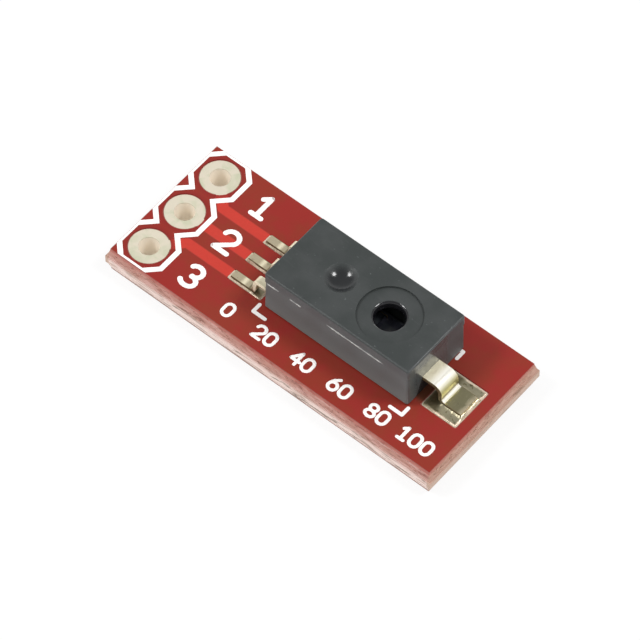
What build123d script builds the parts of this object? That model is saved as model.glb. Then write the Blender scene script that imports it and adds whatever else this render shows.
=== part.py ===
"""A humidity sensor on a small breakout board, in millimetres.

The origin is on the underside, in the middle of the board. +X runs from the row of plated
holes to the sensor's anchor tab, +Y runs along the row towards the ground hole, +Z is up.
"""

import os
from math import atan2, degrees, hypot, radians, tan

from build123d import *

# Board: a rectangle snapped out of a scored panel
laminate_thickness = 1.48
mask_thickness = 0.06
copper_thickness = 0.035
score_depth = 0.5
score_half_angle = 15.0
web_end_overhang = 0.2
web_side_overhang = 0.17
label_space = 2.555
tab_pad_from_end = 0.605

# Row of plated holes for a pin header
hole_pitch = 2.54
hole_from_end = 1.27
hole_diameter = 1.02
plating_thickness = 0.05
ring_diameter = 1.95

# Tracks and pads
track_width = 0.52
lead_pad_toe_margin = 0.12
lead_pad_heel_margin = 0.35
lead_pad_side_margin = 0.06
tab_pad_toe_margin = 0.16
tab_pad_heel_margin = 0.58
tab_pad_side_margin = 0.575
pad_corner = 0.1
mask_opening_clearance = 0.05

# White print
ink_thickness = 0.02
outline_line = 0.26
ink_edge_margin = 0.02
mark_line = 0.18
mark_arm_x = 0.88
mark_arm_y = 0.64
mark_clearance = 0.12
marks_offset_x = -0.05

# Sensor housing: a moulded base with a cover let into it
body_length = 8.58
body_width = 4.2
body_y = 0.375
base_height = 1.93
cover_height = 0.63
draft_angle = 1.1
body_standoff = 0.1
end_wall = 0.85
side_wall = 0.4
cavity_corner = 0.2
body_corner = 0.14
cover_edge_round = 0.1
cover_lip = 0.03
glue_thickness = 0.03
glue_setback = 0.04
cover_wall = 0.5
rim_over_wires = 0.04
rim_wall = 0.25
rim_clearance = 0.06

# Cover: vent in a shallow dish, and a round recess
vent_diameter = 1.45
vent_countersink = 0.12
vent_offset_x = 1.59
vent_offset_y = -0.125
dish_diameter = 3.14
dish_depth = 0.12
recess_diameter = 1.64
recess_depth = 0.35
recess_offset_x = -1.39

# Lead frame: three leads and the anchor tab, stamped from one strip
lead_thickness = 0.2
lead_height = 0.85
lead_shoulder_radius = 0.2
lead_heel_radius = 0.35
tab_shoulder_radius = 0.38
tab_heel_radius = 0.2
lead_pitch = 1.27
lead_width = 0.42
lead_shoulder = 0.68
lead_foot = 1.48
lead_slope = 0.12
finger_pitch = 0.8
finger_length = 3.2
finger_tip_width = 0.6
tab_width = 1.25
tab_shoulder = 0.94
tab_foot = 1.26
tab_slope = 0.06
paddle_length = 2.5
paddle_width = 2.3

# Sensing chip and its wires
chip_length = 1.3
chip_width = 1.7
chip_thickness = 0.2
chip_glue_thickness = 0.03
film_size = 0.9
film_thickness = 0.02
wire_diameter = 0.05
wire_rise = 0.12
wire_inset = 0.12

# Solder
solder_film = 0.035
solder_edge = 0.03
solder_climb = 0.12
solder_spread = 0.075
solder_crest = 0.025

NETS = {"ground": 1, "output": 0, "supply": -1}
SOLID_OVERSHOOT = 1.0

# Pads, and the board that all of it stands on
lead_pad_length = lead_foot + lead_pad_toe_margin + lead_pad_heel_margin
lead_pad_width = lead_width + 2 * lead_pad_side_margin
tab_pad_length = tab_foot + tab_pad_heel_margin + tab_pad_toe_margin
tab_pad_width = tab_width + 2 * tab_pad_side_margin
hole_row_length = hole_from_end + hole_pitch / 2 + outline_line / 2
sensor_length = lead_foot + lead_shoulder + body_length + tab_shoulder + tab_foot
sensor_left = hole_row_length + label_space + lead_pad_toe_margin
board_length = sensor_left + sensor_length + tab_pad_toe_margin + tab_pad_from_end
board_width = len(NETS) * hole_pitch

# Heights
laminate_bottom = mask_thickness
laminate_top = laminate_bottom + laminate_thickness
copper_top = laminate_top + copper_thickness
board_top = laminate_top + mask_thickness
body_bottom = board_top + body_standoff
base_top = body_bottom + base_height
cover_bottom = base_top + glue_thickness
body_top = cover_bottom + cover_height
frame_bottom = body_bottom + lead_height
frame_top = frame_bottom + lead_thickness
frame_middle = frame_bottom + lead_thickness / 2
chip_glue_top = frame_top + chip_glue_thickness
chip_top = chip_glue_top + chip_thickness
wire_top = chip_top + wire_rise
rim_bottom = wire_top + wire_diameter / 2 + rim_over_wires
foot_bottom = copper_top + solder_film
foot_middle = foot_bottom + lead_thickness / 2

# Places along the board
drilled_diameter = hole_diameter + 2 * plating_thickness
hole_x = -board_length / 2 + hole_from_end
lead_toe_x = -board_length / 2 + sensor_left
lead_pad_x = lead_toe_x - lead_pad_toe_margin + lead_pad_length / 2
body_left = lead_toe_x + lead_foot + lead_shoulder
body_right = body_left + body_length
body_x = (body_left + body_right) / 2
vent_x = body_x + vent_offset_x
vent_y = body_y + vent_offset_y
lead_heel_x = body_left - lead_shoulder - lead_slope - lead_thickness / 2
tab_toe_x = body_right + tab_shoulder + tab_foot
tab_heel_x = body_right + tab_shoulder + tab_slope + lead_thickness / 2
tab_pad_x = tab_toe_x + tab_pad_toe_margin - tab_pad_length / 2


def slab(sketch, bottom, top):
    """A flat plate of the sketch's outline between two heights."""
    return extrude(Pos(0, 0, bottom) * sketch, amount=top - bottom)


def rectangle_at(x, y, length, width, corner=0.0):
    """A rectangle in plan about a point, with rounded corners if asked."""
    if corner > 0:
        return Pos(x, y) * RectangleRounded(length, width, corner)
    return Pos(x, y) * Rectangle(length, width)


def stroke(points, width):
    """A flat line with round ends through the points, as an etched track or a printed mark has."""
    path = Sketch()
    for (x0, y0), (x1, y1) in zip(points, points[1:]):
        slot = SlotCenterToCenter(hypot(x1 - x0, y1 - y0), width, degrees(atan2(y1 - y0, x1 - x0)))
        path += Pos((x0 + x1) / 2, (y0 + y1) / 2) * slot
    return path


def formed_strip(points, width, y, radii):
    """A strip of lead-frame metal bent along a line of (x, z) points, centred on y."""
    line = FilletPolyline(*[(x, y, z) for x, z in points], radius=radii)
    start = Plane(origin=line @ 0, x_dir=(0, 1, 0), z_dir=line % 0)
    return sweep(start * Rectangle(width, lead_thickness), path=line)


def board_land():
    """The scored rectangle on either face."""
    return Rectangle(board_length, board_width)


def hole_places():
    """The centres of the row of plated holes, from the ground end."""
    return {net: (hole_x, step * hole_pitch) for net, step in NETS.items()}


def make_laminate():
    """The glass-fibre board: V-scored from both faces, snapped along the web between them."""
    run = score_depth * tan(radians(score_half_angle))
    land = board_land()
    groove = Rectangle(board_length + 2 * run, board_width + 2 * run)
    web = Rectangle(board_length + 2 * web_end_overhang, board_width + 2 * web_side_overhang)
    low_groove = laminate_bottom + score_depth
    high_groove = laminate_top - score_depth
    board = slab(web, low_groove, high_groove)
    board += loft([Pos(0, 0, laminate_bottom) * land, Pos(0, 0, low_groove) * groove], ruled=True)
    board += loft([Pos(0, 0, high_groove) * groove, Pos(0, 0, laminate_top) * land], ruled=True)
    for x, y in hole_places().values():
        board -= Pos(x, y, board_top / 2) * Cylinder(drilled_diameter / 2, board_top + SOLID_OVERSHOOT)
    return board


def track_points(net):
    """The track's centre line: out of the plated hole at 45 degrees, then along to the lead pad."""
    x, y = hole_places()[net]
    lane = NETS[net] * lead_pitch
    knee = x + abs(y - lane)
    if knee > x:
        return [(x, y), (knee, lane), (lead_pad_x, lane)]
    return [(x, y), (lead_pad_x, lane)]


def lead_pad(net, margin=0.0):
    """A lead pad's outline, grown by a margin."""
    y = NETS[net] * lead_pitch
    return rectangle_at(lead_pad_x, y, lead_pad_length + 2 * margin, lead_pad_width + 2 * margin, pad_corner)


def tab_pad(margin=0.0):
    """The anchor tab's pad in outline, grown by a margin."""
    return rectangle_at(tab_pad_x, 0, tab_pad_length + 2 * margin, tab_pad_width + 2 * margin, pad_corner)


def make_copper(net):
    """One net's metal: rings, plated barrel, track and lead pad, all one piece."""
    x, y = hole_places()[net]
    ring = Pos(x, y) * Circle(ring_diameter / 2)
    copper = slab(ring + stroke(track_points(net), track_width) + lead_pad(net), laminate_top, copper_top)
    copper += slab(ring, laminate_bottom - copper_thickness, laminate_bottom)
    copper += slab(Pos(x, y) * Circle(drilled_diameter / 2), laminate_bottom, laminate_top)
    return copper - Pos(x, y, board_top / 2) * Cylinder(hole_diameter / 2, board_top + SOLID_OVERSHOOT)


def make_anchor_pad():
    """The large pad under the anchor tab."""
    return slab(tab_pad(), laminate_top, copper_top)


def mask_openings():
    """The bare circles round the plated holes."""
    openings = Sketch()
    for x, y in hole_places().values():
        openings += Pos(x, y) * Circle(ring_diameter / 2 + mask_opening_clearance)
    return openings


def make_top_mask(copper):
    """The solder mask over the top face, moulded over the tracks and open over the pads."""
    openings = mask_openings() + tab_pad(mask_opening_clearance)
    for net in NETS:
        openings += lead_pad(net, mask_opening_clearance)
    mask = slab(board_land() - openings, laminate_top, board_top)
    for piece in copper:
        mask -= piece
    return mask


def make_bottom_mask():
    """The solder mask over the underside."""
    return slab(board_land() - mask_openings(), 0, laminate_bottom)


def hole_outline():
    """The chain of octagons round the row of holes, one closed outline in plan."""
    half = hole_pitch / 2
    quarter = half / 2
    right_side = []
    for step in NETS.values():
        y = step * hole_pitch
        right_side += [(quarter, y + half), (half, y + quarter), (half, y - quarter)]
    right_side.append((quarter, -hole_pitch - half))
    left_side = [(-x, y) for x, y in reversed(right_side)]
    points = [(hole_x + x, y) for x, y in right_side + left_side]
    return make_face(Polyline(*points, close=True))


def corner_mark(side_x, side_y):
    """One printed corner of the rectangle that the sensor covers."""
    x = body_x + marks_offset_x + side_x * (body_length / 2 + mark_clearance)
    y = side_y * (body_width / 2 + mark_clearance)
    along = (x - side_x * (mark_arm_x - mark_line), y)
    across = (x, y - side_y * (mark_arm_y - mark_line))
    return stroke([along, (x, y), across], mark_line)


def make_print():
    """The white print: the outline round the holes and the four corner marks."""
    chain = hole_outline()
    line = offset(chain, amount=outline_line / 2, kind=Kind.INTERSECTION)
    line -= offset(chain, amount=-outline_line / 2, kind=Kind.INTERSECTION)
    inked = Rectangle(board_length - 2 * ink_edge_margin, board_width - 2 * ink_edge_margin)
    artwork = line & inked
    for side_x in (-1, 1):
        for side_y in (-1, 1):
            artwork += corner_mark(side_x, side_y)
    return slab(artwork, board_top, board_top + ink_thickness)


def finger(net):
    """A lead's flat inner end, in plan: it jogs towards the middle and widens at its tip."""
    step = NETS[net]
    outer = (body_left + lead_width / 2, step * lead_pitch)
    jog = (outer[0] + abs(lead_pitch - finger_pitch) + lead_width / 2, step * finger_pitch)
    tip = (body_left + finger_length - finger_tip_width / 2, step * finger_pitch)
    return stroke([outer, jog, tip], lead_width) + rectangle_at(
        *tip, finger_tip_width, finger_tip_width, pad_corner
    )


def make_lead(net):
    """One lead: its flat finger inside, and the gull-wing that stands on the board."""
    y = NETS[net] * lead_pitch
    rise_x = body_left - lead_shoulder
    points = [
        (body_left + lead_width, frame_middle),
        (rise_x, frame_middle),
        (rise_x - lead_slope, foot_middle),
        (lead_toe_x, foot_middle),
    ]
    strip = formed_strip(points, lead_width, y, (lead_shoulder_radius, lead_heel_radius))
    return strip + slab(finger(net), frame_bottom, frame_top)


def make_anchor_tab():
    """The wide tab: a paddle for the chip inside, and a broad gull-wing outside."""
    rise_x = body_right + tab_shoulder
    points = [
        (vent_x, frame_middle),
        (rise_x, frame_middle),
        (rise_x + tab_slope, foot_middle),
        (tab_toe_x, foot_middle),
    ]
    paddle = rectangle_at(vent_x, 0, paddle_length, paddle_width, pad_corner)
    strip = formed_strip(points, tab_width, 0, (tab_shoulder_radius, tab_heel_radius))
    return strip + slab(paddle, frame_bottom, frame_top)


def cavity_outline(clearance=0.0):
    """The space inside the base, in plan, drawn in by a clearance."""
    length = body_length - 2 * end_wall - 2 * clearance
    width = body_width - 2 * side_wall - 2 * clearance
    return rectangle_at(body_x, body_y, length, width, cavity_corner)


def housing_outline(height, inset=0.0):
    """The housing in plan at a height, drawn in by its moulding draft and by an inset."""
    shrink = inset + (height - body_bottom) * tan(radians(draft_angle))
    return rectangle_at(body_x, body_y, body_length - 2 * shrink, body_width - 2 * shrink, body_corner)


def housing_block(bottom, top, inset=0.0):
    """The drafted block of the housing between two heights."""
    ends = [Pos(0, 0, height) * housing_outline(height, inset) for height in (bottom, top)]
    return loft(ends, ruled=True)


def make_base(lead_frame):
    """The moulded base: a block with a cavity above the lead frame, moulded round its metal."""
    base = housing_block(body_bottom, base_top, cover_lip)
    base -= slab(cavity_outline(), frame_bottom, base_top + SOLID_OVERSHOOT)
    for piece in lead_frame:
        base -= piece
    return base


def make_cover():
    """The cover: a lid with a locating rim, the vent in its dish, and the round recess."""
    lid = housing_block(cover_bottom, body_top)
    lid = fillet(lid.faces().sort_by(Axis.Z)[-1].edges(), cover_edge_round)
    cover = lid + slab(cavity_outline(rim_clearance), rim_bottom, cover_bottom)
    hollow = cavity_outline(rim_clearance + rim_wall)
    cover -= slab(hollow, rim_bottom - SOLID_OVERSHOOT, body_top - cover_wall)
    cover -= Pos(vent_x, vent_y, body_top - dish_depth / 2) * Cylinder(dish_diameter / 2, dish_depth)
    cover -= Pos(vent_x, vent_y, body_top - cover_height / 2) * Cylinder(vent_diameter / 2, 2 * cover_height)
    mouth = body_top - dish_depth
    cover -= Pos(vent_x, vent_y, mouth - vent_countersink / 2) * Cone(
        vent_diameter / 2, vent_diameter / 2 + vent_countersink, vent_countersink
    )
    ball_radius = ((recess_diameter / 2) ** 2 + recess_depth**2) / (2 * recess_depth)
    ball_middle = body_top - recess_depth + ball_radius
    return cover - Pos(body_x + recess_offset_x, body_y, ball_middle) * Sphere(ball_radius)


def make_cover_glue():
    """The bead of adhesive between the base and the cover."""
    bead = housing_outline(base_top, cover_lip + glue_setback) - cavity_outline()
    return slab(bead, base_top, cover_bottom)


def make_chip_glue():
    """The adhesive that holds the chip on the paddle."""
    return slab(rectangle_at(vent_x, 0, chip_length, chip_width), frame_top, chip_glue_top)


def make_chip():
    """The silicon chip."""
    return slab(rectangle_at(vent_x, 0, chip_length, chip_width), chip_glue_top, chip_top)


def make_film():
    """The humidity-sensitive film on the chip."""
    return slab(rectangle_at(vent_x, 0, film_size, film_size), chip_top, chip_top + film_thickness)


def make_bond_wire(net):
    """A fine wire from the chip's edge, up and over, down to a lead's finger, with sharp bends."""
    step = NETS[net]
    pad_x = vent_x - chip_length / 2 + wire_inset
    pad_y = step * (chip_width / 2 - wire_inset)
    finger_x = body_left + finger_length - finger_tip_width / 2
    finger_y = step * finger_pitch
    loop = Polyline(
        (pad_x, pad_y, chip_top),
        (pad_x, pad_y, wire_top),
        (finger_x, finger_y, wire_top - wire_rise / 2),
        (finger_x, finger_y, frame_top),
    )
    start = Plane(origin=loop @ 0, z_dir=loop % 0)
    return sweep(start * Circle(wire_diameter / 2), path=loop, transition=Transition.RIGHT)


def solder_mound(pad_x, pad_y, pad_size, foot_x, foot_size, metal):
    """Solder on a pad: a thin film that climbs the foot's sides, less the metal it wets."""
    film = [size - 2 * solder_edge for size in pad_size]
    slope = [size + 2 * solder_spread for size in foot_size]
    crest = [size + 2 * solder_crest for size in foot_size]
    mound = slab(rectangle_at(pad_x, pad_y, *film, pad_corner), copper_top, foot_bottom)
    mound += loft(
        [
            Pos(foot_x, pad_y, foot_bottom) * Rectangle(*slope),
            Pos(foot_x, pad_y, foot_bottom + solder_climb) * Rectangle(*crest),
        ],
        ruled=True,
    )
    return mound - metal


def make_lead_solder(net, lead):
    """The solder at one lead's foot."""
    foot_length = lead_heel_x - lead_toe_x
    middle = (lead_heel_x + lead_toe_x) / 2
    y = NETS[net] * lead_pitch
    return solder_mound(
        lead_pad_x, y, (lead_pad_length, lead_pad_width), middle, (foot_length, lead_width), lead
    )


def make_tab_solder(tab):
    """The solder at the anchor tab's foot."""
    foot_length = tab_toe_x - tab_heel_x
    middle = (tab_toe_x + tab_heel_x) / 2
    return solder_mound(tab_pad_x, 0, (tab_pad_length, tab_pad_width), middle, (foot_length, tab_width), tab)


leads = {net: make_lead(net) for net in NETS}
anchor_tab = make_anchor_tab()
copper = {net: make_copper(net) for net in NETS}
anchor_pad = make_anchor_pad()

pieces = {
    "laminate": make_laminate(),
    "solder_mask_top": make_top_mask([*copper.values(), anchor_pad]),
    "solder_mask_bottom": make_bottom_mask(),
    "anchor_pad": anchor_pad,
    "printed_outline": make_print(),
    "sensor_base": make_base([*leads.values(), anchor_tab]),
    "sensor_cover": make_cover(),
    "cover_glue": make_cover_glue(),
    "anchor_tab": anchor_tab,
    "solder_joint_tab": make_tab_solder(anchor_tab),
    "sensing_chip": make_chip(),
    "chip_glue": make_chip_glue(),
    "humidity_film": make_film(),
}
for net in NETS:
    pieces[f"copper_{net}"] = copper[net]
    pieces[f"lead_{net}"] = leads[net]
    pieces[f"solder_joint_{net}"] = make_lead_solder(net, leads[net])
    pieces[f"bond_wire_{net}"] = make_bond_wire(net)

os.makedirs("parts", exist_ok=True)
for name, shape in pieces.items():
    export_step(shape, f"parts/{name}.step")
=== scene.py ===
"""Looks and setting of a humidity sensor breakout board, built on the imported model."""

import logging
import math
from dataclasses import dataclass
from enum import Enum
from functools import reduce
from typing import Any, Iterable, Mapping, Optional, Sequence, Union

import bpy
from mathutils import Euler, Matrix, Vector, noise


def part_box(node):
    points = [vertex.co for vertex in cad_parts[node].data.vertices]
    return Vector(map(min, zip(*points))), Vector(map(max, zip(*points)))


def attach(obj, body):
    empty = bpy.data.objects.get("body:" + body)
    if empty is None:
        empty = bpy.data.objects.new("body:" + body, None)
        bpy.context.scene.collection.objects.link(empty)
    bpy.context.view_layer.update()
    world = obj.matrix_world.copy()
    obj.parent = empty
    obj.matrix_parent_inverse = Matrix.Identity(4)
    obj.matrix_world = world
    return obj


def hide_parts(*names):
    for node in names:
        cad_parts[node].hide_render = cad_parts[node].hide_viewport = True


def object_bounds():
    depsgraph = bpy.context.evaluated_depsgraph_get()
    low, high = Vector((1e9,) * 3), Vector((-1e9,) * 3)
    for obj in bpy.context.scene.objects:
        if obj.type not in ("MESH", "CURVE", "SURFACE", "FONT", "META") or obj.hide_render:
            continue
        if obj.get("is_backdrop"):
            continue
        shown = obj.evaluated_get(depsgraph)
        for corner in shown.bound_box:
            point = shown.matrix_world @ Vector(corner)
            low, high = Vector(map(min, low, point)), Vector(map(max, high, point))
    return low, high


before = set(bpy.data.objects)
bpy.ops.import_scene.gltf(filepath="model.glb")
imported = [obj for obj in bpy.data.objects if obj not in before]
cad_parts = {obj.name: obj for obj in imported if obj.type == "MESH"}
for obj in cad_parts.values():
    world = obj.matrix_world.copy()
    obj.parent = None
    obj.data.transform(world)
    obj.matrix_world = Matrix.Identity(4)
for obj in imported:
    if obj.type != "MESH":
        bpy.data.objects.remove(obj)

log = logging.getLogger("humidity_board")

MM = 0.001
WHITE = (1.0, 1.0, 1.0, 1.0)
Colour = tuple[float, float, float]
Point2 = tuple[float, float]
Point3 = tuple[float, float, float]
Span = tuple[float, float]
Number = Union[float, "Signal"]


class NodeKit:
    """Builds nodes in one tree, all through one method."""

    def __init__(self, tree: bpy.types.NodeTree) -> None:
        """Start on a tree."""
        self.tree = tree

    def node(
        self,
        kind: str,
        settings: Optional[Mapping[str, Any]] = None,
        inputs: Optional[Mapping[Union[str, int], Any]] = None,
    ) -> bpy.types.Node:
        """Add a node, set its options, then its sockets.

        Args:
            kind: The node's type name.
            settings: Its options by name.
            inputs: A value, socket or signal for each socket, by name or index.

        Returns:
            The new node.
        """
        made = self.tree.nodes.new(kind)
        for key, value in (settings or {}).items():
            setattr(made, key, value)
        for key, value in (inputs or {}).items():
            source = value.socket if isinstance(value, Signal) else value
            if isinstance(source, bpy.types.NodeSocket):
                self.tree.links.new(source, made.inputs[key])
            else:
                made.inputs[key].default_value = source
        return made


class Signal:
    """A number socket that Python's arithmetic works on."""

    def __init__(self, kit: NodeKit, socket: bpy.types.NodeSocket) -> None:
        self.kit = kit
        self.socket = socket

    def _math(self, operation: str, first: Number, second: Number = 0.0) -> "Signal":
        """Add a Math node and return its result."""
        made = self.kit.node("ShaderNodeMath", {"operation": operation}, {0: first, 1: second})
        return Signal(self.kit, made.outputs[0])

    def __add__(self, other: Number) -> "Signal":
        """This plus other."""
        return self._math("ADD", self, other)

    __radd__ = __add__

    def __mul__(self, other: Number) -> "Signal":
        """This times other."""
        return self._math("MULTIPLY", self, other)

    __rmul__ = __mul__

    def __sub__(self, other: Number) -> "Signal":
        """This less other."""
        return self._math("SUBTRACT", self, other)

    def __rsub__(self, other: Number) -> "Signal":
        """Other less this."""
        return self._math("SUBTRACT", other, self)

    def __pow__(self, power: Number) -> "Signal":
        """This raised to a power."""
        return self._math("POWER", self, power)

    def __abs__(self) -> "Signal":
        """Its size without its sign."""
        return self._math("ABSOLUTE", self)

    def least(self, other: Number) -> "Signal":
        """The smaller of the two."""
        return self._math("MINIMUM", self, other)

    def most(self, other: Number) -> "Signal":
        """The larger of the two."""
        return self._math("MAXIMUM", self, other)

    def hypot(self, other: "Signal") -> "Signal":
        """The length of the diagonal over this and other."""
        return (self * self + other * other) ** 0.5

    def ramp(self, low: float, high: float) -> "Signal":
        """A smooth step up.

        Args:
            low: The value where the step starts.
            high: The value where it ends.

        Returns:
            0 at low, 1 at high, held at both ends.
        """
        made = self.kit.node(
            "ShaderNodeMapRange",
            {"interpolation_type": "SMOOTHSTEP"},
            {"Value": self, "From Min": low, "From Max": high, "To Min": 0.0, "To Max": 1.0},
        )
        return Signal(self.kit, made.outputs["Result"])

    def fade(self, low: float, high: float) -> "Signal":
        """A smooth step down: 1 at low, 0 at high, held at both ends."""
        return 1 - self.ramp(low, high)

    def window(self, rise: Span, fall: Span) -> "Signal":
        """A smooth step up over the first span and down over the second."""
        return self.ramp(*rise) * self.fade(*fall)


class Shader(NodeKit):
    """One material's node tree."""

    def __init__(self, name: str) -> None:
        """Start an empty material.

        Args:
            name: The material's name.
        """
        self.material = bpy.data.materials.new(name)
        self.material.use_nodes = True
        super().__init__(self.material.node_tree)
        self.tree.nodes.clear()
        coordinates = self.node("ShaderNodeTexCoord").outputs["Object"]
        scaled = self.node("ShaderNodeVectorMath", {"operation": "SCALE"}, {0: coordinates, "Scale": 1 / MM})
        self.place = scaled.outputs["Vector"]
        split = self.node("ShaderNodeSeparateXYZ", None, {"Vector": self.place})
        self.x, self.y, self.z = (Signal(self, split.outputs[axis]) for axis in "XYZ")

    def stretched(self, scale: Sequence[float]) -> bpy.types.NodeSocket:
        """The place in millimetres, scaled along each axis."""
        made = self.node("ShaderNodeVectorMath", {"operation": "MULTIPLY"}, {0: self.place, 1: scale})
        return made.outputs["Vector"]

    def cloud(
        self, scale: float, stretch: Sequence[float] = (1, 1, 1), detail: float = 3.0, twist: float = 0.0
    ) -> Signal:
        """Soft noise.

        Args:
            scale: Waves to the millimetre.
            stretch: How much finer it is along each axis.
            detail: Octaves of finer noise.
            twist: How much it is distorted.

        Returns:
            A signal about 0.5.
        """
        vector = self.stretched([scale * part for part in stretch])
        made = self.node(
            "ShaderNodeTexNoise",
            None,
            {"Vector": vector, "Scale": 1.0, "Detail": detail, "Distortion": twist},
        )
        return Signal(self, made.outputs[0])

    def tint(self, factor: Number, first: Any, second: Any) -> bpy.types.NodeSocket:
        """Blend two colours.

        Args:
            factor: 0 for the first, 1 for the second.
            first: A colour or colour socket.
            second: A colour or colour socket.

        Returns:
            The blended colour's socket.
        """
        pair = [(*c, 1.0) if isinstance(c, tuple) else c for c in (first, second)]
        made = self.node(
            "ShaderNodeMix", {"data_type": "RGBA", "clamp_factor": True}, {0: factor, 6: pair[0], 7: pair[1]}
        )
        return made.outputs[2]

    def layers(self, ground: Any, *coats: tuple[Number, Any]) -> bpy.types.NodeSocket:
        """Lay colours one over another.

        Args:
            ground: The colour or colour socket at the bottom.
            *coats: For each coat, how much of it shows, 0 to 1, and its colour.

        Returns:
            The socket of the colour that shows.
        """
        for factor, coat in coats:
            ground = self.tint(factor, ground, coat)
        return ground

    def bump(self, height: Signal, distance: float, strength: float) -> bpy.types.NodeSocket:
        """A bumped normal.

        Args:
            height: The relief, about 0 to 1.
            distance: What 1 stands for, in millimetres.
            strength: How much of it shows.

        Returns:
            The normal's socket.
        """
        made = self.node(
            "ShaderNodeBump", None, {"Height": height, "Distance": distance * MM, "Strength": strength}
        )
        return made.outputs["Normal"]

    def surface(self, **sockets: Any) -> bpy.types.Material:
        """Finish with the standard surface shader.

        Args:
            **sockets: Its sockets by name, with _ for a space.

        Returns:
            The finished material.
        """
        values = {key.replace("_", " "): value for key, value in sockets.items()}
        shader = self.node("ShaderNodeBsdfPrincipled", None, values)
        self.node("ShaderNodeOutputMaterial", None, {"Surface": shader.outputs["BSDF"]})
        return self.material


@dataclass(frozen=True)
class Layout:
    """Sizes of the board that the finishes and the print follow, in millimetres."""

    hole_x: float = -8.255
    hole_pitch: float = 2.54
    hole_radius: float = 0.51
    lead_pitch: float = 1.27
    lead_pad_x: float = -3.325
    track_width: float = 0.52
    board_half_length: float = 9.525
    board_half_width: float = 3.81
    laminate_top: float = 1.54
    copper_top: float = 1.575
    board_top: float = 1.6
    score_angle: float = 15.0
    score_depth: float = 0.5
    rows: tuple[int, ...] = (1, 0, -1)

    def hole_places(self) -> list[Point2]:
        """The centres of the plated holes, ground end first."""
        return [(self.hole_x, row * self.hole_pitch) for row in self.rows]

    def track_runs(self) -> list[tuple[Point2, Point2]]:
        """The straight runs of the three tracks.

        Returns:
            The two ends of each run.
        """
        runs = []
        for (x, y), row in zip(self.hole_places(), self.rows):
            lane = row * self.lead_pitch
            knee = x + abs(y - lane)
            if knee > x:
                runs.append(((x, y), (knee, lane)))
            runs.append(((knee, lane), (self.lead_pad_x, lane)))
        return runs

    @staticmethod
    def row_offset(shader: Shader, pitch: float) -> Signal:
        """How far a place is, across the board, from the nearest of three rows at a pitch."""
        return abs(abs(shader.y) - pitch / 2) - pitch / 2

    def lane_offset(self, shader: Shader) -> Signal:
        """How far a place is, across the board, from the nearest lead's middle line."""
        return self.row_offset(shader, self.lead_pitch)

    def from_hole(self, shader: Shader) -> Signal:
        """How far a place is, in plan, from the middle of the nearest plated hole."""
        return (shader.x - self.hole_x).hypot(self.row_offset(shader, self.hole_pitch))


@dataclass(frozen=True)
class MaskFinish:
    """Red solder mask: brighter over copper, with a painted shadow beside the tab, chipped at its rim.

    The spans are in millimetres, as heights or as distances from what they are named for.
    """

    layout: Layout
    bare: Colour = (0.285, 0.023, 0.018)
    dull: Colour = (0.255, 0.030, 0.016)
    coppered: Colour = (0.540, 0.044, 0.030)
    shadowed: Colour = (0.240, 0.020, 0.016)
    # Colour of the painted shadow on the mask beside the tab.
    flux: Colour = (0.085, 0.045, 0.022)
    chipped: Colour = (0.42, 0.24, 0.19)
    roughness: float = 0.38
    upper_face: Span = (0.7, 0.9)
    track_edge: Span = (-0.03, 0.05)
    hole_collar: Span = (1.05, 1.35)
    # Where and how far the painted shadow of the tab lies on the mask.
    flux_middle: Point2 = (7.0, -0.2)
    flux_reach_x: Span = (0.45, 0.80)
    flux_reach_y: Span = (0.7, 1.1)
    chipped_rim: Span = (-0.025, -0.005)
    relief_height: float = 0.02

    def run_distance(self, shader: Shader, start: Point2, end: Point2) -> Signal:
        """Distance in plan from a straight run's centre line.

        Args:
            shader: The tree to build in.
            start: One end of the run.
            end: Its other end.

        Returns:
            The distance in millimetres.
        """
        length = math.hypot(end[0] - start[0], end[1] - start[1])
        along = ((end[0] - start[0]) / length, (end[1] - start[1]) / length)
        dx, dy = shader.x - start[0], shader.y - start[1]
        run = (dx * along[0] + dy * along[1]).most(0.0).least(length)
        return (dx - run * along[0]).hypot(dy - run * along[1])

    def build(self) -> bpy.types.Material:
        """Make the material.

        Returns:
            The finished material.
        """
        shader = Shader("red_solder_mask")
        runs = [self.run_distance(shader, start, end) for start, end in self.layout.track_runs()]
        track = (reduce(Signal.least, runs) - self.layout.track_width / 2).fade(*self.track_edge)
        collar = self.layout.from_hole(shader).fade(*self.hole_collar)
        upper = shader.z.ramp(*self.upper_face)
        mottle = shader.cloud(0.45, detail=2.0)
        blotch = shader.cloud(1.3, detail=3.0)
        speck = shader.cloud(7.0, detail=2.0)
        # Painted shadow: a dark brown patch on the mask under and beside the tab.
        painted_tab_shadow_x = abs(shader.x - self.flux_middle[0]).fade(*self.flux_reach_x)
        painted_tab_shadow_y = abs(shader.y - self.flux_middle[1]).fade(*self.flux_reach_y)
        rim_x = (abs(shader.x) - self.layout.board_half_length).ramp(*self.chipped_rim)
        rim_y = (abs(shader.y) - self.layout.board_half_width).ramp(*self.chipped_rim)
        colour = shader.layers(
            self.bare,
            ((mottle * 0.5 + blotch * 0.5).ramp(0.38, 0.62), self.dull),
            (track * upper * (0.82 + speck * 0.25), self.coppered),
            (collar * upper * 0.8, self.shadowed),
            (painted_tab_shadow_x * painted_tab_shadow_y * upper * 0.75, self.flux),
            (rim_x.most(rim_y) * (0.75 - upper * 0.45), self.chipped),
        )
        relief = track * upper * (1 - collar) + shader.cloud(1.6, detail=1.0) * 0.35 + speck * 0.05
        return shader.surface(
            Base_Color=colour,
            Roughness=self.roughness + (mottle - 0.5) * 0.25,
            Specular_IOR_Level=0.25,
            Normal=shader.bump(relief, self.relief_height, 0.6),
        )


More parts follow.
